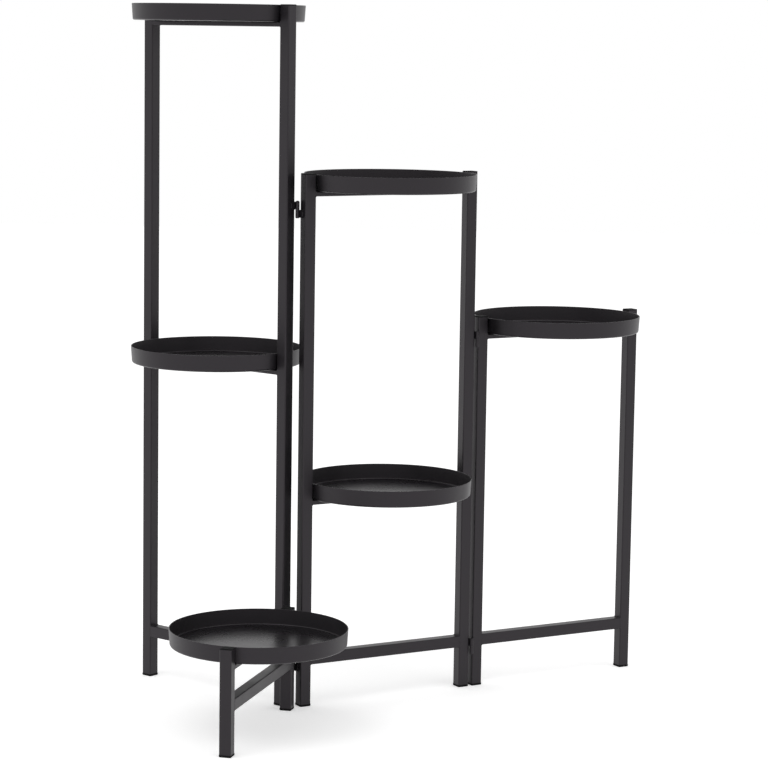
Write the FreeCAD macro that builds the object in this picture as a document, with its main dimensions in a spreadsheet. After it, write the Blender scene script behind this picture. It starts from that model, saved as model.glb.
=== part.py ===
import FreeCAD, Part
import math
import os
import Sketcher

# A folding plant stand: four flat frames of square steel tube, hinged leg to leg, with six
# round pressed trays at six heights. Millimetres and degrees, +Z up, front towards -Y.
# The origin is on the floor, under the middle of the open stand's outline.
#
# Every frame is drawn in its own coordinates: X along the frame, Y across it, Z up from the
# floor, with the trays' axis at X = Y = 0. Its placement then stands it on its hinge line.

# Driving sizes: one spreadsheet cell each.
SIZES = [
    ("tubeSide", 16.0, "outside width of the square tube"),
    ("tubeWall", 1.2, "wall of the tubes"),
    ("tubeCorner", 1.6, "outside corner radius of the square tube"),
    ("railHeight", 58.0, "floor to the underside of the cross tube"),
    ("trayRadius", 118.5, "outside radius of a tray at its rim"),
    ("trayDepth", 22.7, "tray height from underside to rim"),
    ("traySheet", 1.0, "thickness of the pressed sheet"),
    ("trayTaper", 1.3, "how much narrower a tray is at its floor, per side"),
    ("trayCorner", 2.6, "outside radius between tray wall and floor"),
    ("rimBevel", 0.3, "bevel on both edges of a tray's rim"),
    ("trayGap", 0.7, "gap between a tray's rim and each leg"),
    ("barDepth", 6.5, "height of the flat tube that carries a tray"),
    ("barWall", 1.2, "wall of the flat tube"),
    ("barCorner", 1.3, "outside corner radius of the flat tube"),
    ("tallUpperRim", 956.0, "floor to rim, upper tray of the tall frame"),
    ("tallLowerRim", 487.5, "floor to rim, lower tray of the tall frame"),
    ("middleUpperRim", 730.5, "floor to rim, upper tray of the middle frame"),
    ("middleLowerRim", 309.8, "floor to rim, lower tray of the middle frame"),
    ("shortRim", 525.9, "floor to rim, tray of the short frame"),
    ("lowRim", 141.4, "floor to rim, tray of the low frame"),
    ("tallRise", 0.6, "top rim of the tall frame to the top of its end plugs"),
    ("middleRise", 1.7, "top rim of the middle frame to the top of its end plugs"),
    ("shortRise", 3.1, "rim of the short frame to the top of its end plugs"),
    ("lowRise", 0.5, "rim of the low frame to the top of its end plugs"),
    ("plugHead", 1.5, "thickness of an end plug's head"),
    ("plugEdge", 0.6, "bevel round the top of an end plug"),
    ("footHeight", 3.0, "thickness of a foot below the leg"),
    ("footFlare", 0.3, "how far a foot stands out past the leg, per side"),
    ("footEdge", 0.8, "bevel round the bottom of a foot"),
    ("stemLength", 12.0, "length of the stem of a plug or foot inside the leg"),
    ("stemWall", 1.5, "wall of that hollow stem"),
    ("stemGap", 0.05, "gap between the stem and the bore of the leg"),
    ("hingeReach", 3.0, "leg's end face to the hinge pin's axis"),
    ("hingeStandOff", 2.0, "leg's side face to the hinge pin's axis"),
    ("lowHingeReach", 2.9, "the same reach on the low frame's hinges"),
    ("lowHingeStandOff", 0.4, "the same stand-off on the low frame's hinges"),
    ("knuckleRadius", 2.8, "outside radius of a hinge knuckle"),
    ("knuckleHeight", 10.6, "height of one knuckle and its plate"),
    ("knuckleGap", 0.3, "gap between the two knuckles on a pin"),
    ("plateThickness", 1.3, "thickness of a hinge plate"),
    ("plateLength", 9.0, "length of a hinge plate across the leg's end face"),
    ("plateCorner", 1.0, "rounding of a hinge plate's free corners"),
    ("pinRadius", 1.5, "radius of a hinge pin"),
    ("pinGap", 0.03, "running clearance round a hinge pin"),
    ("pinHeadRadius", 2.5, "radius of a pin's domed head"),
    ("pinHeadHeight", 1.1, "height of a pin's domed head"),
    ("pinHeadGap", 0.2, "gap under a pin's head"),
    ("pinTailRadius", 2.2, "radius of a pin's riveted end"),
    ("pinTailHeight", 0.8, "height of a pin's riveted end"),
    ("middleHingeDrop", 47.5, "top rim of the middle frame down to the middle of its upper hinge"),
    ("shortHingeDrop", 28.4, "rim of the short frame down to the middle of its upper hinge"),
    ("lowHingeDrop", 41.4, "rim of the low frame down to the middle of its upper hinge"),
    ("lowerHingeHeight", 59.0, "floor to the middle of the middle and short frames' lower hinges"),
    ("lowestHingeHeight", 32.0, "floor to the middle of the low frame's lower hinge"),
    ("tallYawAngle", -39.7, "heading of the tall frame as the open stand is shown"),
    ("middleOpenAngle", 110.4, "angle between the tall and middle frames, open"),
    ("shortOpenAngle", 180.0, "angle between the middle and short frames, open"),
    ("lowOpenAngle", 114.3, "angle between the tall and low frames, open"),
]

# What each frame has: the names of its two legs, how far they rise above its top rim, and the
# rim heights of its trays, top first.
FRAMES = {
    "tall": {"legs": ("left", "right"), "rise": "tallRise",
             "trays": (("upper_", "tallUpperRim"), ("lower_", "tallLowerRim"))},
    "middle": {"legs": ("left", "right"), "rise": "middleRise",
               "trays": (("upper_", "middleUpperRim"), ("lower_", "middleLowerRim"))},
    "short": {"legs": ("left", "right"), "rise": "shortRise", "trays": (("", "shortRim"),)},
    "low": {"legs": ("rear", "front"), "rise": "lowRise", "trays": (("", "lowRim"),)},
}

# The hinge lines. Each joins the right end of the parent frame to the left end of the child,
# on the back (+1) or front (-1) face of both.
HINGES = [
    {"parent": "tall", "child": "middle", "face": 1, "reach": "hingeReach",
     "standOff": "hingeStandOff", "open": "middleOpenAngle",
     "heights": (("upper", "(Sizes.middleUpperRim - Sizes.middleHingeDrop)"),
                 ("lower", "Sizes.lowerHingeHeight"))},
    {"parent": "middle", "child": "short", "face": -1, "reach": "hingeReach",
     "standOff": "hingeStandOff", "open": "shortOpenAngle",
     "heights": (("upper", "(Sizes.shortRim - Sizes.shortHingeDrop)"),
                 ("lower", "Sizes.lowerHingeHeight"))},
    {"parent": "tall", "child": "low", "face": -1, "reach": "lowHingeReach",
     "standOff": "lowHingeStandOff", "open": "lowOpenAngle",
     "heights": (("upper", "(Sizes.lowRim - Sizes.lowHingeDrop)"),
                 ("lower", "Sizes.lowestHingeHeight"))},
]

LEFT, RIGHT = -1, 1
LEG_SPACING = "(2 * (Sizes.trayRadius + Sizes.trayGap) + Sizes.tubeSide)"
CLEAR_SPAN = "(2 * (Sizes.trayRadius + Sizes.trayGap))"
STEM_SIDE = "(Sizes.tubeSide - 2 * Sizes.tubeWall - 2 * Sizes.stemGap)"

doc = FreeCAD.newDocument("plantStand")
sheet = doc.addObject("Spreadsheet::Sheet", "Sizes")
for row, (alias, value, note) in enumerate(SIZES, start=1):
    sheet.set("A%d" % row, note)
    sheet.set("B%d" % row, str(value))
    sheet.setAlias("B%d" % row, alias)
doc.recompute()
cuts = []


def size(alias):
    """The number in one cell of the sheet."""
    return float(sheet.get(alias))


# Sketches and features


def newBody(label, placement):
    body = doc.addObject("PartDesign::Body", label)
    body.Label = label
    body.Placement = placement
    return body


def newSketch(body, name, role, **offsets):
    """A sketch on one of the body's own planes, moved in the plane's own x, y, z."""
    plane = [o for o in body.Origin.OriginFeatures if o.Role == role][0]
    sketch = body.newObject("Sketcher::SketchObject", name)
    sketch.AttachmentSupport = [(plane, "")]
    sketch.MapMode = "FlatFace"
    for axis, expression in offsets.items():
        sketch.setExpression("AttachmentOffset.Base." + axis, expression)
    return sketch


def bind(sketch, kind, points, start, expression):
    """Add a dimension to the sketch and tie it to an expression of sheet cells."""
    index = sketch.addConstraint(Sketcher.Constraint(kind, *points, start))
    sketch.setExpression("Constraints[%d]" % index, expression)


def rectangle(sketch, width, depth):
    """A centred rectangle; the two sizes are expressions."""
    x, y = valueOf(width) / 2, valueOf(depth) / 2
    first = sketch.GeometryCount
    corners = [FreeCAD.Vector(*c, 0) for c in ((-x, -y), (x, -y), (x, y), (-x, y))]
    for i in range(4):
        sketch.addGeometry(Part.LineSegment(corners[i], corners[(i + 1) % 4]))
    for i in range(4):
        line, following = first + i, first + (i + 1) % 4
        sketch.addConstraint(Sketcher.Constraint("Coincident", line, 2, following, 1))
        sketch.addConstraint(Sketcher.Constraint(("Horizontal", "Vertical")[i % 2], line))
    sketch.addConstraint(Sketcher.Constraint("Symmetric", first, 1, first + 2, 1, -1, 1))
    bind(sketch, "DistanceX", (first, 1, first, 2), 2 * x, width)
    bind(sketch, "DistanceY", (first + 1, 1, first + 1, 2), 2 * y, depth)


def roundedRectangle(sketch, width, depth, corner):
    """A centred rectangle with round corners; the three sizes are expressions."""
    w, d, r = (abs(valueOf(e)) for e in (width, depth, corner))
    x, y = w / 2, d / 2
    first = sketch.GeometryCount
    ends = [((r - x, -y), (x - r, -y)), ((x, r - y), (x, y - r)),
            ((x - r, y), (r - x, y)), ((-x, y - r), (-x, r - y))]
    centres = [(x - r, r - y), (x - r, y - r), (r - x, y - r), (r - x, r - y)]
    for i, ((x0, y0), (x1, y1)) in enumerate(ends):
        sketch.addGeometry(Part.LineSegment(FreeCAD.Vector(x0, y0, 0), FreeCAD.Vector(x1, y1, 0)))
        ring = Part.Circle(FreeCAD.Vector(*centres[i], 0), FreeCAD.Vector(0, 0, 1), r)
        quarter = math.pi / 2
        sketch.addGeometry(Part.ArcOfCircle(ring, (i - 1) * quarter, i * quarter))
    for i in range(4):
        line, arc, following = first + 2 * i, first + 2 * i + 1, first + (2 * i + 2) % 8
        sketch.addConstraint(Sketcher.Constraint("Tangent", line, 2, arc, 1))
        sketch.addConstraint(Sketcher.Constraint("Tangent", arc, 2, following, 1))
        sketch.addConstraint(Sketcher.Constraint(("Horizontal", "Vertical")[i % 2], line))
        if i:
            sketch.addConstraint(Sketcher.Constraint("Equal", first + 1, arc))
    sketch.addConstraint(Sketcher.Constraint("Symmetric", first + 1, 3, first + 5, 3, -1, 1))
    bind(sketch, "Radius", (first + 1,), r, corner)
    bind(sketch, "DistanceX", (first + 6, 1, first + 2, 1), w, width)
    bind(sketch, "DistanceY", (first, 1, first + 4, 1), d, depth)


def circle(sketch, radius, x="0", y="0"):
    """A circle of an expression's radius, centred at two expressions."""
    index = sketch.addGeometry(Part.Circle(
        FreeCAD.Vector(valueOf(x), valueOf(y), 0), FreeCAD.Vector(0, 0, 1), valueOf(radius)))
    bind(sketch, "Radius", (index,), valueOf(radius), radius)
    for kind, place in (("DistanceX", x), ("DistanceY", y)):
        bind(sketch, kind, (-1, 1, index, 3), valueOf(place), place)


def valueOf(expression):
    """The value of an expression of sheet cells, for a sketch's first drawing."""
    return float(sheet.evalExpression(expression.replace("Sizes.", "")))


def pad(body, sketch, name, length, reverse=False):
    feature = body.newObject("PartDesign::Pad", name)
    feature.Profile = sketch
    feature.setExpression("Length", length)
    feature.Reversed = reverse
    body.Tip = feature
    return feature


def pocket(body, sketch, name, length, reverse=False):
    """A cut through the solid made so far; the pair is kept to see that the cut took volume."""
    whole = body.Tip
    feature = body.newObject("PartDesign::Pocket", name)
    feature.Profile = sketch
    feature.setExpression("Length", length)
    feature.Reversed = reverse
    body.Tip = feature
    cuts.append((whole, feature))
    return feature


def bevelEdges(body, name, base, height, expression):
    """A Chamfer on the edges of base that lie level at this height."""
    doc.recompute()
    edges = ["Edge%d" % number for number, edge in enumerate(base.Shape.Edges, start=1)
             if all(abs(vertex.Z - height) < 1e-4 for vertex in edge.Vertexes)]
    feature = body.newObject("PartDesign::Chamfer", name)
    feature.Base = (base, edges)
    feature.setExpression("Size", expression)
    body.Tip = feature
    return feature


# The pieces of a frame


def tube(label, placement, role, depth, wall, corner, length, **offsets):
    """A straight tube, round at its outside corners, padded from one end."""
    body = newBody(label, placement)
    section = newSketch(body, "Section", role, **offsets)
    roundedRectangle(section, "Sizes.tubeSide", depth, corner)
    rectangle(section, "Sizes.tubeSide - 2 * " + wall, "%s - 2 * %s" % (depth, wall))
    pad(body, section, "Length", length)
    return body


def leg(frame, name, side, placement, top):
    """A square tube from the foot to the end plug."""
    return tube(
        "%s_%s_leg" % (frame, name), placement, "XY_Plane", "Sizes.tubeSide", "Sizes.tubeWall",
        "Sizes.tubeCorner", "%s - Sizes.plugHead - Sizes.footHeight" % top,
        x="%d * %s / 2" % (side, LEG_SPACING), z="Sizes.footHeight")


def crossTube(frame, placement):
    """The square tube near the floor, between the legs."""
    return tube(
        frame + "_cross_tube", placement, "YZ_Plane", "Sizes.tubeSide", "Sizes.tubeWall",
        "Sizes.tubeCorner", CLEAR_SPAN, y="Sizes.railHeight + Sizes.tubeSide / 2",
        z="-%s / 2" % CLEAR_SPAN)


def trayBar(frame, prefix, placement, rim):
    """The flat tube under a tray, between the legs and flush with their sides."""
    return tube(
        "%s_%stray_bar" % (frame, prefix), placement, "YZ_Plane", "Sizes.barDepth",
        "Sizes.barWall", "Sizes.barCorner", CLEAR_SPAN,
        y="Sizes.%s - Sizes.trayDepth - Sizes.barDepth / 2" % rim, z="-%s / 2" % CLEAR_SPAN)


def tray(frame, prefix, placement, rim):
    """A dish pressed from sheet: flat floor, round corner, leaning wall, bevelled rim."""
    body = newBody("%s_%stray" % (frame, prefix), placement)
    sketch = newSketch(body, "Profile", "XZ_Plane", y="Sizes.%s - Sizes.trayDepth" % rim)
    radius, depth, thickness = size("trayRadius"), size("trayDepth"), size("traySheet")
    corner = size("trayCorner")
    wallFoot = radius - size("trayTaper")
    centreX = wallFoot - corner

    def line(x0, y0, x1, y1):
        return sketch.addGeometry(
            Part.LineSegment(FreeCAD.Vector(x0, y0, 0), FreeCAD.Vector(x1, y1, 0)))

    def bend(r):
        ring = Part.Circle(FreeCAD.Vector(centreX, corner, 0), FreeCAD.Vector(0, 0, 1), r)
        return sketch.addGeometry(Part.ArcOfCircle(ring, -math.pi / 2, 0))

    underside = line(0, 0, centreX, 0)
    outerBend = bend(corner)
    outerWall = line(wallFoot, corner, radius, depth)
    top = line(radius, depth, radius - thickness, depth)
    innerWall = line(radius - thickness, depth, wallFoot - thickness, corner)
    innerBend = bend(corner - thickness)
    floor = line(centreX, thickness, 0, thickness)
    axis = line(0, thickness, 0, 0)
    joints = [("Tangent", underside, 2, outerBend, 1), ("Tangent", outerBend, 2, outerWall, 1),
              ("Coincident", outerWall, 2, top, 1), ("Coincident", top, 2, innerWall, 1),
              ("Tangent", innerWall, 2, innerBend, 2), ("Tangent", innerBend, 1, floor, 1),
              ("Coincident", floor, 2, axis, 1), ("Coincident", axis, 2, underside, 1),
              ("Coincident", underside, 1, -1, 1), ("Horizontal", underside),
              ("Horizontal", floor), ("Horizontal", top), ("Vertical", axis),
              ("Parallel", outerWall, innerWall), ("Coincident", outerBend, 3, innerBend, 3)]
    for joint in joints:
        sketch.addConstraint(Sketcher.Constraint(*joint))
    bind(sketch, "DistanceY", (axis, 2, axis, 1), thickness, "Sizes.traySheet")
    bind(sketch, "Radius", (outerBend,), corner, "Sizes.trayCorner")
    bind(sketch, "DistanceX", (-1, 1, outerWall, 2), radius, "Sizes.trayRadius")
    bind(sketch, "DistanceY", (-1, 1, outerWall, 2), depth, "Sizes.trayDepth")
    bind(sketch, "DistanceX", (-1, 1, outerWall, 1), wallFoot, "Sizes.trayRadius - Sizes.trayTaper")
    turn = body.newObject("PartDesign::Revolution", "Dish")
    turn.Profile = sketch
    turn.ReferenceAxis = (sketch, ["V_Axis"])
    turn.Angle = 360.0
    body.Tip = turn
    bevelEdges(body, "RimBevel", turn, valueOf("Sizes." + rim), "Sizes.rimBevel")
    return body


def stem(body, start, downwards):
    """The hollow square stem that holds a plug or foot in the bore of the leg."""
    section = newSketch(body, "StemSection", "XY_Plane", **start)
    rectangle(section, STEM_SIDE, STEM_SIDE)
    pad(body, section, "Stem", "Sizes.stemLength", reverse=downwards)
    bore = newSketch(body, "StemBoreSection", "XY_Plane", **start)
    rectangle(bore, *2 * (STEM_SIDE + " - 2 * Sizes.stemWall",))
    return pocket(body, bore, "StemBore", "Sizes.stemLength", reverse=not downwards)


def endPlug(frame, name, side, placement, top):
    """The plastic plug in the top of a leg."""
    body = newBody("%s_%s_end_plug" % (frame, name), placement)
    place = {"x": "%d * %s / 2" % (side, LEG_SPACING), "z": "%s - Sizes.plugHead" % top}
    headSection = newSketch(body, "HeadSection", "XY_Plane", **place)
    roundedRectangle(headSection, "Sizes.tubeSide", "Sizes.tubeSide", "Sizes.tubeCorner")
    head = pad(body, headSection, "Head", "Sizes.plugHead")
    bevelEdges(body, "HeadBevel", head, valueOf(top), "Sizes.plugEdge")
    stem(body, place, downwards=True)
    return body


def foot(frame, name, side, placement):
    """The plastic foot in the bottom of a leg."""
    body = newBody("%s_%s_foot" % (frame, name), placement)
    x = "%d * %s / 2" % (side, LEG_SPACING)
    padSection = newSketch(body, "PadSection", "XY_Plane", x=x)
    width = "Sizes.tubeSide + 2 * Sizes.footFlare"
    roundedRectangle(padSection, width, width, "Sizes.tubeCorner")
    block = pad(body, padSection, "Block", "Sizes.footHeight")
    bevelEdges(body, "Bevel", block, 0.0, "Sizes.footEdge")
    stem(body, {"x": x, "z": "Sizes.footHeight"}, downwards=False)
    return body


# The pieces of a hinge


def pinAxis(hinge, side):
    """Where the pin stands in a frame's coordinates, as two expressions."""
    x = "%d * (%s / 2 + Sizes.tubeSide / 2 + Sizes.%s)" % (side, LEG_SPACING, hinge["reach"])
    y = "%d * (Sizes.tubeSide / 2 + Sizes.%s)" % (hinge["face"], hinge["standOff"])
    return x, y


def pinPoint(hinge, side):
    """The same place as a point on the floor."""
    return FreeCAD.Vector(*(valueOf(e) for e in pinAxis(hinge, side)), 0)


def hingeLeaf(label, hinge, side, placement, underside):
    """A plate on the leg's end face with one knuckle at its edge, bored for the pin."""
    body = newBody(label, placement)
    x, y = pinAxis(hinge, side)
    plateX = "%d * (%s / 2 + Sizes.tubeSide / 2 + Sizes.plateThickness / 2)" % (side, LEG_SPACING)
    plateY = "%s - %d * Sizes.plateLength / 2" % (y, hinge["face"])
    plateSection = newSketch(body, "PlateSection", "YZ_Plane", x=plateY,
                             y="%s + Sizes.knuckleHeight / 2" % underside,
                             z="%s - Sizes.plateThickness / 2" % plateX)
    roundedRectangle(plateSection, "Sizes.plateLength", "Sizes.knuckleHeight", "Sizes.plateCorner")
    pad(body, plateSection, "Plate", "Sizes.plateThickness")
    knuckleSection = newSketch(body, "KnuckleSection", "XY_Plane", z=underside)
    circle(knuckleSection, "Sizes.knuckleRadius", x, y)
    pad(body, knuckleSection, "Knuckle", "Sizes.knuckleHeight")
    boreSection = newSketch(body, "BoreSection", "XY_Plane", z=underside)
    circle(boreSection, "Sizes.pinRadius + Sizes.pinGap", x, y)
    pocket(body, boreSection, "Bore", "Sizes.knuckleHeight", reverse=True)
    return body


def hingePin(label, hinge, placement, middle):
    """The rivet through both knuckles: a domed head, a shank and a flattened end."""
    body = newBody(label, placement)
    x, y = pinAxis(hinge, LEFT)
    sketch = newSketch(body, "Profile", "XZ_Plane", x=x, y=middle, z="-(%s)" % y)
    half = size("knuckleGap") / 2 + size("knuckleHeight")
    seat = half + size("pinHeadGap")
    shank, headR, headH = size("pinRadius"), size("pinHeadRadius"), size("pinHeadHeight")
    tailR, tailH = size("pinTailRadius"), size("pinTailHeight")
    domeR = (headR ** 2 + headH ** 2) / (2 * headH)
    dome = Part.Circle(FreeCAD.Vector(0, seat + headH - domeR, 0), FreeCAD.Vector(0, 0, 1), domeR)
    points = [(0, -half - tailH), (tailR, -half - tailH), (tailR, -half), (shank, -half),
              (shank, seat), (headR, seat), (0, seat + headH)]
    for (x0, y0), (x1, y1) in zip(points[:5], points[1:6]):
        sketch.addGeometry(Part.LineSegment(FreeCAD.Vector(x0, y0, 0), FreeCAD.Vector(x1, y1, 0)))
    start = math.atan2(domeR - headH, headR)
    arc = sketch.addGeometry(Part.ArcOfCircle(dome, start, math.pi / 2))
    axis = sketch.addGeometry(Part.LineSegment(FreeCAD.Vector(*points[6], 0),
                                               FreeCAD.Vector(*points[0], 0)))
    chain = [0, 1, 2, 3, 4, arc, axis]
    for this, following in zip(chain, chain[1:] + chain[:1]):
        sketch.addConstraint(Sketcher.Constraint("Coincident", this, 2, following, 1))
    for index in (0, 2, 4):
        sketch.addConstraint(Sketcher.Constraint("Horizontal", index))
    for index in (1, 3, axis):
        sketch.addConstraint(Sketcher.Constraint("Vertical", index))
    sketch.addConstraint(Sketcher.Constraint("PointOnObject", arc, 3, -2))
    halfStack = "(Sizes.knuckleGap / 2 + Sizes.knuckleHeight)"
    bind(sketch, "DistanceX", (-1, 1, 0, 1), 0.0, "0")
    bind(sketch, "DistanceX", (-1, 1, 1, 1), tailR, "Sizes.pinTailRadius")
    bind(sketch, "DistanceX", (-1, 1, 3, 1), shank, "Sizes.pinRadius")
    bind(sketch, "DistanceX", (-1, 1, 4, 2), headR, "Sizes.pinHeadRadius")
    bind(sketch, "DistanceY", (1, 1, 1, 2), tailH, "Sizes.pinTailHeight")
    bind(sketch, "DistanceY", (3, 1, -1, 1), half, halfStack)
    bind(sketch, "DistanceY", (-1, 1, 3, 2), seat, halfStack + " + Sizes.pinHeadGap")
    bind(sketch, "DistanceY", (4, 2, arc, 2), headH, "Sizes.pinHeadHeight")
    turn = body.newObject("PartDesign::Revolution", "Rivet")
    turn.Profile = sketch
    turn.ReferenceAxis = (sketch, ["V_Axis"])
    turn.Angle = 360.0
    body.Tip = turn
    return body


# Where the frames stand


def standFrames():
    """A placement for each frame: the tall one first, then along the hinge lines."""
    up = FreeCAD.Vector(0, 0, 1)
    places = {"tall": FreeCAD.Placement(FreeCAD.Vector(), FreeCAD.Rotation(up, size("tallYawAngle")))}
    for hinge in HINGES:
        pins = [pinPoint(hinge, side) for side in (RIGHT, LEFT)]
        turn = FreeCAD.Rotation(up, hinge["face"] * (180.0 - size(hinge["open"])))
        places[hinge["child"]] = (places[hinge["parent"]] * FreeCAD.Placement(pins[0], turn)
                                  * FreeCAD.Placement(-pins[1], FreeCAD.Rotation()))
    # the origin goes under the middle of the outline of all feet and trays
    halfLeg, halfFoot = valueOf(LEG_SPACING) / 2, size("tubeSide") / 2 + size("footFlare")
    xs, ys = [], []
    for place in places.values():
        for side in (LEFT, RIGHT):
            for dx in (-halfFoot, halfFoot):
                for dy in (-halfFoot, halfFoot):
                    corner = place.multVec(FreeCAD.Vector(side * halfLeg + dx, dy, 0))
                    xs.append(corner.x)
                    ys.append(corner.y)
        for reach in (-size("trayRadius"), size("trayRadius")):
            xs.append(place.Base.x + reach)
            ys.append(place.Base.y + reach)
    shift = FreeCAD.Vector(-(min(xs) + max(xs)) / 2, -(min(ys) + max(ys)) / 2, 0)
    for place in places.values():
        place.Base = place.Base + shift
    return places


# The stand

places = standFrames()
parts = []
for frame, make in FRAMES.items():
    place = places[frame]
    top = "Sizes.%s + Sizes.%s" % (make["trays"][0][1], make["rise"])
    for name, side in zip(make["legs"], (LEFT, RIGHT)):
        parts.append(leg(frame, name, side, place, top))
        parts.append(endPlug(frame, name, side, place, top))
        parts.append(foot(frame, name, side, place))
    parts.append(crossTube(frame, place))
    for prefix, rim in make["trays"]:
        parts.append(trayBar(frame, prefix, place, rim))
        parts.append(tray(frame, prefix, place, rim))

for hinge in HINGES:
    for level, height in hinge["heights"]:
        name = "%s_%s_%s_hinge" % (hinge["parent"], hinge["child"], level)
        upperFace = "%s + Sizes.knuckleGap / 2" % height
        lowerFace = "%s - Sizes.knuckleGap / 2 - Sizes.knuckleHeight" % height
        parts.append(hingeLeaf(name + "_top_leaf", hinge, RIGHT, places[hinge["parent"]], upperFace))
        parts.append(hingeLeaf(name + "_bottom_leaf", hinge, LEFT, places[hinge["child"]], lowerFace))
        parts.append(hingePin(name + "_pin", hinge, places[hinge["child"]], height))

doc.recompute()

# Tests and files

for item in doc.Objects:
    if "Invalid" in item.State or "Error" in item.State:
        raise RuntimeError("%s failed: %s" % (item.Label, item.State))
for part in parts:
    if part.Shape.isNull() or not part.Shape.isValid() or len(part.Shape.Solids) != 1:
        raise RuntimeError("%s is not one valid solid" % part.Label)
for whole, cut in cuts:
    if not cut.Shape.Volume < whole.Shape.Volume:
        raise RuntimeError("%s of %s cuts nothing" % (cut.Label, cut.getParentGeoFeatureGroup().Label))

os.makedirs("parts", exist_ok=True)
for part in parts:
    part.Shape.exportStep("parts/%s.step" % part.Label)
    print("%-40s %10.1f mm3" % (part.Label, part.Shape.Volume))
print(len(parts), "parts")
for frame, place in places.items():
    turn = place.Rotation
    print(frame, "frame at", place.Base, "turned", round(math.degrees(turn.Angle), 2), turn.Axis)
for hinge in HINGES:
    pin = places[hinge["parent"]].multVec(pinPoint(hinge, RIGHT))
    print("pin axis", hinge["parent"], hinge["child"], pin)
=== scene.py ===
import math

import bmesh
import bpy
from mathutils import Matrix, Vector


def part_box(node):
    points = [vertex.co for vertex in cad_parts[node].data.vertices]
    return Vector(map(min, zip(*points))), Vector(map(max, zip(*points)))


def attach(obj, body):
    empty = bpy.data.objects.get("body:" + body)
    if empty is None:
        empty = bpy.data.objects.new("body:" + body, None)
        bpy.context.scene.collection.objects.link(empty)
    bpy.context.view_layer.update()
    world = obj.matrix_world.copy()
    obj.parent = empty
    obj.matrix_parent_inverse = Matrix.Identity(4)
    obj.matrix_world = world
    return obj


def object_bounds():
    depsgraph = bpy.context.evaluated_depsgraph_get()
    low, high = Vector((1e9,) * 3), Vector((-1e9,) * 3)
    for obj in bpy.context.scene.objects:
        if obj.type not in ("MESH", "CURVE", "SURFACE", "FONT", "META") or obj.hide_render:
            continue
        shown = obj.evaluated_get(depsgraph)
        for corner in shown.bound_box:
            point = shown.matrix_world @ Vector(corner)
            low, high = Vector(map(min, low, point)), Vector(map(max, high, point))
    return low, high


# Folding plant stand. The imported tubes, trays, plugs, feet and hinges get their finishes here,
# and the welds that hold them together are added. Metres; the stand's front faces -Y.

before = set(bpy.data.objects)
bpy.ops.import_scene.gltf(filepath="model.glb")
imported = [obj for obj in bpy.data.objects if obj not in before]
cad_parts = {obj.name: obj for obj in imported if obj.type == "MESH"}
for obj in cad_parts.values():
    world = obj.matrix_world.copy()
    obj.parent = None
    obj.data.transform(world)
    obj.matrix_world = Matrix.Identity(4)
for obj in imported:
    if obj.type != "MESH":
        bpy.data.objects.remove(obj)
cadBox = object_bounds()
millimetre = 0.001
white = (1, 1, 1, 1)


def linearColour(hexText):     # sRGB hex to linear
    channels = [int(hexText[i:i + 2], 16) / 255 for i in (1, 3, 5)]
    return [c / 12.92 if c <= 0.04045 else ((c + 0.055) / 1.055) ** 2.4 for c in channels] + [1.0]


# An input that is another node's socket is linked, any other value is set
def addNode(tree, kind, inputs=None, **settings):
    node = tree.nodes.new(kind)
    for name, value in settings.items():
        setattr(node, name, value)
    for socket, value in (inputs or {}).items():
        if isinstance(value, bpy.types.NodeSocket):
            tree.links.new(value, node.inputs[socket])
        else:
            node.inputs[socket].default_value = value
    return node


def newTree(name):
    material = bpy.data.materials.new(name)
    material.use_nodes = True
    material.node_tree.nodes.clear()
    return material, material.node_tree


def perMetre(wavelength):      # noise scale for a pattern of this size in millimetres
    return 1 / (wavelength * millimetre)


# 1 for the rays that see the backdrop: the camera's, mirrored ones and those through glass
def backdropRays(tree):
    seen = addNode(tree, "ShaderNodeLightPath")
    mirrored = addNode(tree, "ShaderNodeMath", {0: seen.outputs["Is Camera Ray"],
                                                1: seen.outputs["Is Glossy Ray"]},
                       operation="MAXIMUM")
    return addNode(tree, "ShaderNodeMath", {0: mirrored.outputs[0],
                                            1: seen.outputs["Is Transmission Ray"]},
                   operation="MAXIMUM").outputs[0]


def addMesh(name, mesh, material):
    data = bpy.data.meshes.new(name)
    mesh.to_mesh(data)
    mesh.free()
    data.materials.append(material)
    thing = bpy.data.objects.new(name, data)
    bpy.context.scene.collection.objects.link(thing)
    return thing


# Powder coat on steel: sprayed dry and baked, so it flows into a satin film with a faint orange
# peel. Nearly black itself, it looks charcoal because the film mirrors the white room.
powderCoat = {
    "ior": 1.45,
    "tint": "#fff6ff",      # a slight violet cast in what the film mirrors
    "film": 45.0,           # mm, slow change in how thick the film lies
    "filmDetail": 3.0,
    "thin": 0.35,           # noise value up to which the film counts as thin, dark and smooth
    "thick": 0.65,          # and from which it counts as thick, light and rough
    "peel": 5.0,            # mm; the real peel is about 1.5 mm, drawn coarser so that it shows
    "peelDetail": 1.5,
    "peelRoughness": 0.4,
    "peelDepth": 0.014,     # mm
    "specks": 0.9,          # mm, fine grain of the baked powder
    "speckDetail": 2.0,
    "speckDepth": 0.002,    # mm
    "upright": 0.3,         # a face whose normal's Z is under this isn't level at all
    "level": 0.9,           # and from here on it is wholly level
    "levelled": 0.95,       # share of peel and grain that flows out on level faces
}


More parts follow.
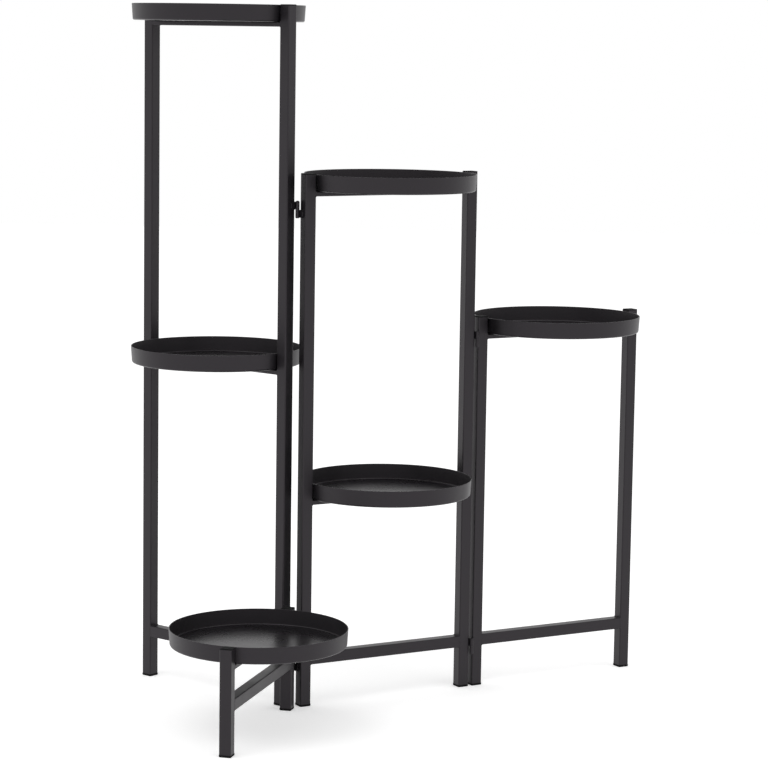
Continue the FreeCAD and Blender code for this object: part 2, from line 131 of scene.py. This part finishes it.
def coatedSteel(name, dark, light, roughest, smoothest, peelScale, levelFlow):
    material, tree = newTree(name)
    place = addNode(tree, "ShaderNodeTexCoord")
    film = addNode(tree, "ShaderNodeTexNoise",
                   {"Vector": place.outputs["Object"], "Scale": perMetre(powderCoat["film"]),
                    "Detail": powderCoat["filmDetail"]}).outputs["Fac"]
    peel = addNode(tree, "ShaderNodeTexNoise",
                   {"Vector": place.outputs["Object"],
                    "Scale": perMetre(powderCoat["peel"] * peelScale),
                    "Detail": powderCoat["peelDetail"],
                    "Roughness": powderCoat["peelRoughness"]}).outputs["Fac"]
    specks = addNode(tree, "ShaderNodeTexNoise",
                     {"Vector": place.outputs["Object"], "Scale": perMetre(powderCoat["specks"]),
                      "Detail": powderCoat["speckDetail"]}).outputs["Fac"]
    colour = addNode(tree, "ShaderNodeValToRGB", {"Fac": film})
    colour.color_ramp.elements[0].position = powderCoat["thin"]
    colour.color_ramp.elements[0].color = linearColour(dark)
    colour.color_ramp.elements[1].position = powderCoat["thick"]
    colour.color_ramp.elements[1].color = linearColour(light)
    gloss = addNode(tree, "ShaderNodeMapRange",
                    {"Value": film, "From Min": powderCoat["thin"],
                     "From Max": powderCoat["thick"], "To Min": smoothest, "To Max": roughest})
    facing = addNode(tree, "ShaderNodeSeparateXYZ", {"Vector": place.outputs["Normal"]})
    lie = addNode(tree, "ShaderNodeMath", {0: facing.outputs["Z"]}, operation="ABSOLUTE")
    level = addNode(tree, "ShaderNodeMapRange",
                    {"Value": lie.outputs[0], "From Min": powderCoat["upright"],
                     "From Max": powderCoat["level"]})
    flowed = addNode(tree, "ShaderNodeMath",
                     {0: level.outputs["Result"], 1: -levelFlow, 2: gloss.outputs["Result"]},
                     operation="MULTIPLY_ADD")
    relief = addNode(tree, "ShaderNodeMath",
                     {0: level.outputs["Result"], 1: -powderCoat["levelled"], 2: 1.0},
                     operation="MULTIPLY_ADD").outputs[0]
    waves = addNode(tree, "ShaderNodeBump",
                    {"Height": peel, "Distance": powderCoat["peelDepth"] * millimetre,
                     "Strength": relief})
    grain = addNode(tree, "ShaderNodeBump",
                    {"Height": specks, "Distance": powderCoat["speckDepth"] * millimetre,
                     "Strength": relief, "Normal": waves.outputs["Normal"]})
    shader = addNode(tree, "ShaderNodeBsdfPrincipled",
                     {"Base Color": colour.outputs["Color"], "Roughness": flowed.outputs[0],
                      "Normal": grain.outputs["Normal"], "IOR": powderCoat["ior"], "Metallic": 0.0,
                      "Specular Tint": linearColour(powderCoat["tint"])})
    addNode(tree, "ShaderNodeOutputMaterial", {"Surface": shader.outputs["BSDF"]})
    return material


# Polypropylene, injection moulded in a spark-eroded mould: a deep matte grain that traps the
# light, so that the plugs and feet look blacker than the coated steel round them.
polypropylene = {
    "dark": "#070708",
    "light": "#0b0b0c",
    "roughness": 0.88,
    "ior": 1.49,
    "specular": 0.2,        # most of the mirroring is lost in the grain
    "grain": 0.5,           # mm
    "grainDepth": 0.02,     # mm
    "grainStrength": 0.6,
    "flow": 12.0,           # mm, cloudy change of colour where the melt flowed
}


def mouldedPolypropylene():
    material, tree = newTree("mouldedPolypropylene")
    place = addNode(tree, "ShaderNodeTexCoord").outputs["Object"]
    grain = addNode(tree, "ShaderNodeTexVoronoi",
                    {"Vector": place,
                     "Scale": perMetre(polypropylene["grain"])}).outputs["Distance"]
    flow = addNode(tree, "ShaderNodeTexNoise",
                   {"Vector": place, "Scale": perMetre(polypropylene["flow"])}).outputs["Fac"]
    colour = addNode(tree, "ShaderNodeValToRGB", {"Fac": flow})
    colour.color_ramp.elements[0].color = linearColour(polypropylene["dark"])
    colour.color_ramp.elements[1].color = linearColour(polypropylene["light"])
    bump = addNode(tree, "ShaderNodeBump",
                   {"Height": grain, "Distance": polypropylene["grainDepth"] * millimetre,
                    "Strength": polypropylene["grainStrength"]})
    shader = addNode(tree, "ShaderNodeBsdfPrincipled",
                     {"Base Color": colour.outputs["Color"],
                      "Roughness": polypropylene["roughness"], "Normal": bump.outputs["Normal"],
                      "IOR": polypropylene["ior"], "Metallic": 0.0,
                      "Specular IOR Level": polypropylene["specular"]})
    addNode(tree, "ShaderNodeOutputMaterial", {"Surface": shader.outputs["BSDF"]})
    return material


# How the coat lies on each kind of part. peelScale is the peel's size against that on a tube,
# and levelFlow the roughness lost on level faces, where the film flows out smoother.
steelCoats = {
    "tube": {"dark": "#0b0a0c", "light": "#100e11", "roughest": 0.42, "smoothest": 0.38,
             "peelScale": 1.0, "levelFlow": 0.0},
    "sheet": {"dark": "#0b0a0c", "light": "#0f0d10", "roughest": 0.45, "smoothest": 0.41,
              "peelScale": 1.0, "levelFlow": 0.15},
    "hinge": {"dark": "#0a090b", "light": "#0e0c0f", "roughest": 0.48, "smoothest": 0.44,
              "peelScale": 0.6, "levelFlow": 0.0},
    "weld": {"dark": "#0a090b", "light": "#0e0c0f", "roughest": 0.50, "smoothest": 0.44,
             "peelScale": 0.5, "levelFlow": 0.0},
}

coatedTube = coatedSteel("powderCoatedTubeSteel", **steelCoats["tube"])
coatedSheet = coatedSteel("powderCoatedSheetSteel", **steelCoats["sheet"])
coatedHinge = coatedSteel("powderCoatedHingeSteel", **steelCoats["hinge"])
coatedWeld = coatedSteel("powderCoatedWeld", **steelCoats["weld"])
plastic = mouldedPolypropylene()


def finishFor(node):
    if node.endswith(("_end_plug", "_foot")):
        return plastic
    if "_hinge_" in node:
        return coatedHinge
    return coatedSheet if node.endswith("_tray") else coatedTube


for nodeName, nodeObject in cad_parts.items():
    for slot in nodeObject.material_slots:
        slot.material = finishFor(nodeName)
print("finishes on", len(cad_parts), "packed pieces")


# Each frame's legs, from low to high X in the frame's own directions, its trays, and the pairs
# of frames that are hinged: the first one at its second leg, the other one at its first leg
legNames = {"tall": ("left", "right"), "middle": ("left", "right"),
            "short": ("left", "right"), "low": ("rear", "front")}
trayPrefixes = {"tall": ("upper_", "lower_"), "middle": ("upper_", "lower_"),
                "short": ("",), "low": ("",)}
hingedFrames = (("tall", "middle"), ("middle", "short"), ("tall", "low"))


def middleOf(node):
    low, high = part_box(node)
    return (low + high) / 2


# Where a frame stands: X along it, from the middle between its two legs
def framePlace(name):
    first, second = (middleOf("%s_%s_leg" % (name, leg)) for leg in legNames[name])
    along = (second - first).normalized()
    centre = (first + second) / 2
    turn = Matrix((along, Vector((-along.y, along.x, 0)), Vector((0, 0, 1)))).transposed()
    return Matrix.Translation((centre.x, centre.y, 0)) @ turn.to_4x4()


places = {name: framePlace(name) for name in legNames}


# A node's lowest and highest corner in its frame's own directions
def localBox(node, name):
    inverse = places[name].inverted()
    points = [inverse @ v.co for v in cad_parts[node].data.vertices]
    return [Vector([pick(p[i] for p in points) for i in range(3)]) for pick in (min, max)]


# Welds: small rippled beads under the coat
weld = {
    "faceInset": 0.75 * millimetre,    # where a bead is dressed flush with front and back faces
    "faceRadius": 0.9 * millimetre,
    "faceSink": 0.3 * millimetre,      # how deep the bead's centre lies in the leg there
    "filletOut": 0.05 * millimetre,    # where it fills the corner above and below a tube
    "filletRadius": 0.8 * millimetre,
    "filletSink": -0.2 * millimetre,   # outside the leg's face there
    "cornerRadius": 1.6 * millimetre,  # the tubes' own corners
    "cornerTurns": 6,                  # straight parts round one corner
    "pitch": 1.7 * millimetre,         # one ripple
    "ripple": 0.10,                    # share of the bead's radius
    "step": 0.4 * millimetre,          # from one ring of points to the next
    "fewestSteps": 4,
    "sides": 10,
    "tip": 0.2,                        # share of the radius left at the end of a short bead
    "aslant": (0.31, 0.87, 0.39),      # a direction that no bead runs in
    "tackLength": 13 * millimetre,
    "tackRadius": 1.0 * millimetre,
    "tackPlaces": (-62 * millimetre, 0, 62 * millimetre),    # along a bar, from its middle
    "plateRadius": 0.6 * millimetre,
    "plateTrim": 2 * millimetre,       # left bare at the ends of a hinge plate
}


# A bead of round section through stations of (point, radius)
def bead(name, stations, closed, body):
    mesh = bmesh.new()
    aslant = Vector(weld["aslant"])
    turns = [2 * math.pi * k / weld["sides"] for k in range(weld["sides"])]
    rings, travelled = [], 0.0
    count = len(stations)
    for i, (point, radius) in enumerate(stations):
        before = stations[i - 1][0] if closed or i else point
        after = stations[(i + 1) % count][0] if closed or i + 1 < count else point
        along = (after - before).normalized()
        aside = along.cross(aslant).normalized()
        up = along.cross(aside)
        if i:
            travelled += (point - stations[i - 1][0]).length
        wave = abs(math.sin(math.pi * travelled / weld["pitch"]))
        size = radius * (1 - weld["ripple"] * (1 - wave))
        rings.append([mesh.verts.new(point + size * (math.cos(a) * aside + math.sin(a) * up))
                      for a in turns])
    pairs = list(zip(rings, rings[1:])) + ([(rings[-1], rings[0])] if closed else [])
    for one, other in pairs:
        for k in range(weld["sides"]):
            n = (k + 1) % weld["sides"]
            mesh.faces.new((one[k], one[n], other[n], other[k]))
    if not closed:
        mesh.faces.new(rings[0][::-1])
        mesh.faces.new(rings[-1])
    bmesh.ops.recalc_face_normals(mesh, faces=mesh.faces)
    piece = addMesh(name, mesh, coatedWeld)
    piece.data.polygons.foreach_set("use_smooth", [True] * len(piece.data.polygons))
    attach(piece, body)


# A tube's outline seen from its end, as (y, z, angle) round its corners from the middle
def roundedOutline(halfWide, halfTall):
    corner = weld["cornerRadius"]
    straightY, straightZ = halfWide - corner, halfTall - corner
    centres = ((straightY, -straightZ), (straightY, straightZ),
               (-straightY, straightZ), (-straightY, -straightZ))
    outline = []
    for quarter, (centreY, centreZ) in enumerate(centres):
        for k in range(weld["cornerTurns"] + 1):
            angle = math.radians(90 * (quarter - 1) + 90 * k / weld["cornerTurns"])
            outline.append((centreY + corner * math.cos(angle),
                            centreZ + corner * math.sin(angle), angle))
    return outline


# All round the end of a tube, where it meets the leg's face at jointX
def ringWeld(name, place, jointX, side, low, high, body):
    middle = (low.z + high.z) / 2
    outline = roundedOutline((high.y - low.y) / 2, (high.z - low.z) / 2)
    stations = []
    for i, (y, z, angle) in enumerate(outline):
        nextY, nextZ, nextAngle = outline[(i + 1) % len(outline)]
        steps = max(1, round(math.hypot(nextY - y, nextZ - z) / weld["step"]))
        turnBy = (nextAngle - angle + math.pi) % (2 * math.pi) - math.pi
        for k in range(steps):
            share = k / steps
            a = angle + share * turnBy
            fillet = math.sin(a) ** 2      # 0 on the front and back faces, 1 above and below
            out = fillet * weld["filletOut"] - (1 - fillet) * weld["faceInset"]
            radius = fillet * weld["filletRadius"] + (1 - fillet) * weld["faceRadius"]
            sink = fillet * weld["filletSink"] + (1 - fillet) * weld["faceSink"]
            local = Vector((jointX + side * sink, y + (nextY - y) * share + out * math.cos(a),
                            middle + z + (nextZ - z) * share + out * math.sin(a)))
            stations.append((place @ local, radius))
    bead(name, stations, True, body)


# A short bead with rounded ends
def straightBead(name, start, end, radius, body):
    length = (end - start).length
    steps = max(weld["fewestSteps"], round(length / weld["step"]))
    stations = []
    for k in range(steps + 1):
        share = k / steps
        nearEnd = min(share, 1 - share) * length / radius
        taper = max(weld["tip"], math.sqrt(1 - max(0.0, 1 - nearEnd) ** 2))
        stations.append((start.lerp(end, share), radius * taper))
    bead(name, stations, False, body)


for name, prefixes in trayPrefixes.items():
    place, body = places[name], name + "_frame"
    rails = [("cross", "%s_cross_tube" % name)]
    rails += [("%stray_bar" % prefix, "%s_%stray_bar" % (name, prefix)) for prefix in prefixes]
    for title, node in rails:
        low, high = localBox(node, name)
        for leg, jointX, side in zip(legNames[name], (low.x, high.x), (-1, 1)):
            ringWeld("%s_%s_%s_weld" % (name, title, leg), place, jointX, side, low, high, body)
    for prefix in prefixes:
        low, high = localBox("%s_%stray_bar" % (name, prefix), name)
        for number, x in enumerate(weld["tackPlaces"], 1):
            for edge, y in (("front", low.y), ("back", high.y)):
                ends = [place @ Vector((x + s * weld["tackLength"] / 2, y, high.z))
                        for s in (-1, 1)]
                straightBead("%s_%stray_%s_tack_%d" % (name, prefix, edge, number),
                             *ends, weld["tackRadius"], body)

for parent, child in hingedFrames:
    for level in ("upper", "lower"):
        for leaf, name, end in (("top", parent, 1), ("bottom", child, 0)):
            hinge = "%s_%s_%s_hinge_%s" % (parent, child, level, leaf)
            low, high = localBox(hinge + "_leaf", name)
            endX = localBox("%s_%s_leg" % (name, legNames[name][end]), name)[end].x
            edgeY = min((low.y, high.y), key=abs)      # the plate's edge that lies on the leg
            ends = [places[name] @ Vector((endX, edgeY, z))
                    for z in (low.z + weld["plateTrim"], high.z - weld["plateTrim"])]
            straightBead(hinge + "_weld", *ends, weld["plateRadius"], name + "_frame")
print("welds made")


# A matte white sweep that glows a little for the rays that see it as backdrop
floor = {"reach": 9.0, "squares": 8, "colour": "#f2f2f2", "glow": 0.42}


def paleFloor():
    mesh = bmesh.new()
    bmesh.ops.create_grid(mesh, x_segments=floor["squares"], y_segments=floor["squares"],
                          size=floor["reach"])
    material, tree = newTree("matteWhiteSweep")
    paper = addNode(tree, "ShaderNodeBsdfDiffuse", {"Color": linearColour(floor["colour"])})
    glow = addNode(tree, "ShaderNodeEmission", {"Color": white, "Strength": floor["glow"]})
    both = addNode(tree, "ShaderNodeAddShader", {0: paper.outputs[0], 1: glow.outputs[0]})
    mixed = addNode(tree, "ShaderNodeMixShader", {0: backdropRays(tree), 1: paper.outputs[0],
                                                  2: both.outputs[0]})
    addNode(tree, "ShaderNodeOutputMaterial", {"Surface": mixed.outputs[0]})
    ground = addMesh("studioFloor", mesh, material)


paleFloor()

room = {"lightOnThings": 0.8, "background": 1.0}


def whiteRoom():
    world = bpy.data.worlds.new("whiteRoom")
    world.use_nodes = True
    tree = world.node_tree
    tree.nodes.clear()
    lighting = addNode(tree, "ShaderNodeBackground", {"Color": white,
                                                      "Strength": room["lightOnThings"]})
    backdrop = addNode(tree, "ShaderNodeBackground", {"Color": white,
                                                      "Strength": room["background"]})
    mixed = addNode(tree, "ShaderNodeMixShader", {0: backdropRays(tree), 1: lighting.outputs[0],
                                                  2: backdrop.outputs[0]})
    addNode(tree, "ShaderNodeOutputWorld", {"Surface": mixed.outputs[0]})
    bpy.context.scene.world = world


whiteRoom()

lamps = {
    "key": {"at": (-1.7, -1.9, 4.2), "side": 3.0, "watts": 34},
    "fill": {"at": (2.6, -1.2, 3.4), "side": 2.6, "watts": 14},
}


def softLamp(name, at, side, watts):
    data = bpy.data.lights.new(name, "AREA")
    data.shape = "SQUARE"
    data.size = side
    data.energy = watts
    lamp = bpy.data.objects.new(name, data)
    lamp.location = at
    aim = (cadBox[0] + cadBox[1]) / 2 - Vector(at)
    lamp.rotation_euler = aim.to_track_quat("-Z", "Y").to_euler()
    bpy.context.scene.collection.objects.link(lamp)


for name, settings in lamps.items():
    softLamp(name, **settings)


# Solved from the picture's legs, trays and feet, then tipped down so that the whole stand is
# framed without any lens shift
camera = {
    "at": (-0.00405, -3.65231, 0.92229),
    "heading": -0.0537,     # degrees to the right of +Y
    "down": 7.435,          # degrees
    "roll": 0.841,          # degrees
    "lens": 126.54,         # mm
    "sensor": 36.0,         # mm
    "near": 0.05,
    "far": 60.0,
}


def standCamera():
    data = bpy.data.cameras.new("camera")
    data.lens = camera["lens"]
    data.sensor_width = camera["sensor"]
    data.clip_start = camera["near"]
    data.clip_end = camera["far"]
    viewer = bpy.data.objects.new("camera", data)
    turn = (Matrix.Rotation(math.radians(-camera["heading"]), 4, "Z")
            @ Matrix.Rotation(math.radians(90 - camera["down"]), 4, "X")
            @ Matrix.Rotation(math.radians(camera["roll"]), 4, "Z"))
    viewer.matrix_world = Matrix.Translation(camera["at"]) @ turn
    bpy.context.scene.collection.objects.link(viewer)
    bpy.context.scene.camera = viewer


standCamera()
bpy.context.scene.view_settings.view_transform = "Standard"
print("floor, room, lamps and camera set")
